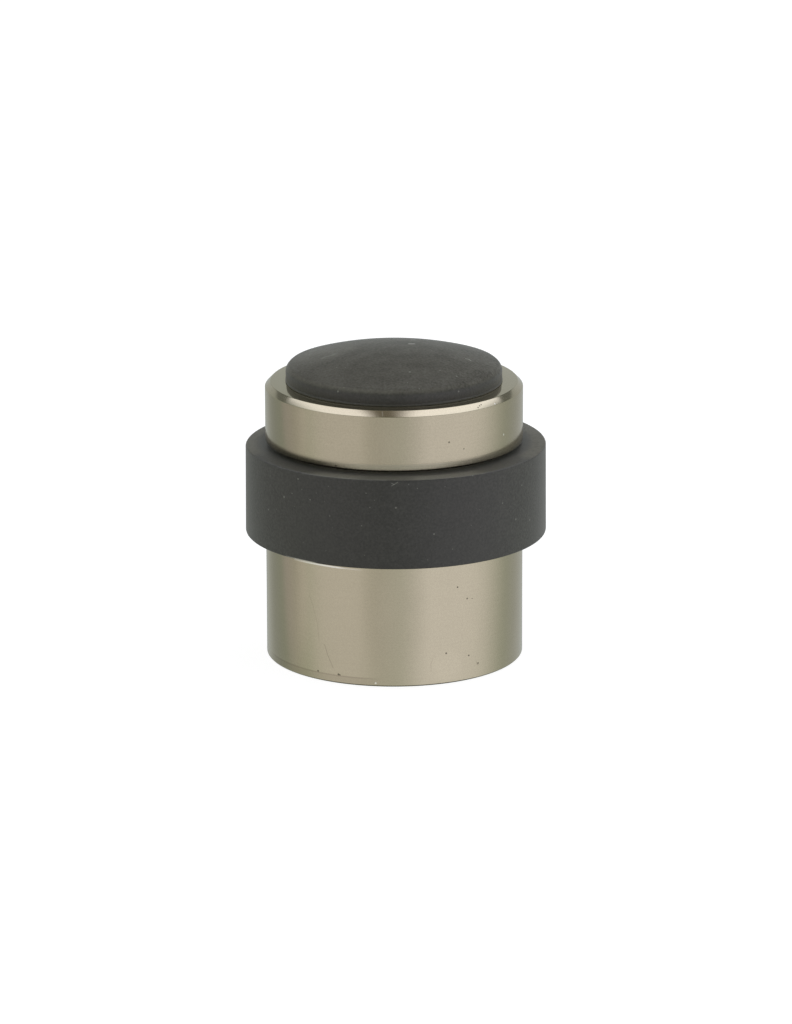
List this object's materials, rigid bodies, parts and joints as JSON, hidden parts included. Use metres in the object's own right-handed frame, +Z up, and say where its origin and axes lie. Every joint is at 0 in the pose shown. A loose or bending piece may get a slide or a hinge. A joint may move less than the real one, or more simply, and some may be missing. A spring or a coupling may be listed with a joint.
{
  "type": "floor door stop",
  "caption": "Cylindrical floor door stop: a satin nickel body with a black rubber buffer ring in its groove and a domed rubber cap over its screw hole.",
  "frame": {"origin": "centre of the base, on the floor", "axes": "+Z up along the body's axis; the picture looks along +Y from in front"},
  "size_m": [0.0468, 0.0468, 0.0488],
  "materials": {
    "satin_nickel": "satin",
    "black_rubber": "matte"
  },
  "bodies": {
    "root": {"body": "satin_nickel", "buffer_ring": "black_rubber", "top_cap": "black_rubber"}
  },
  "joints": []
}
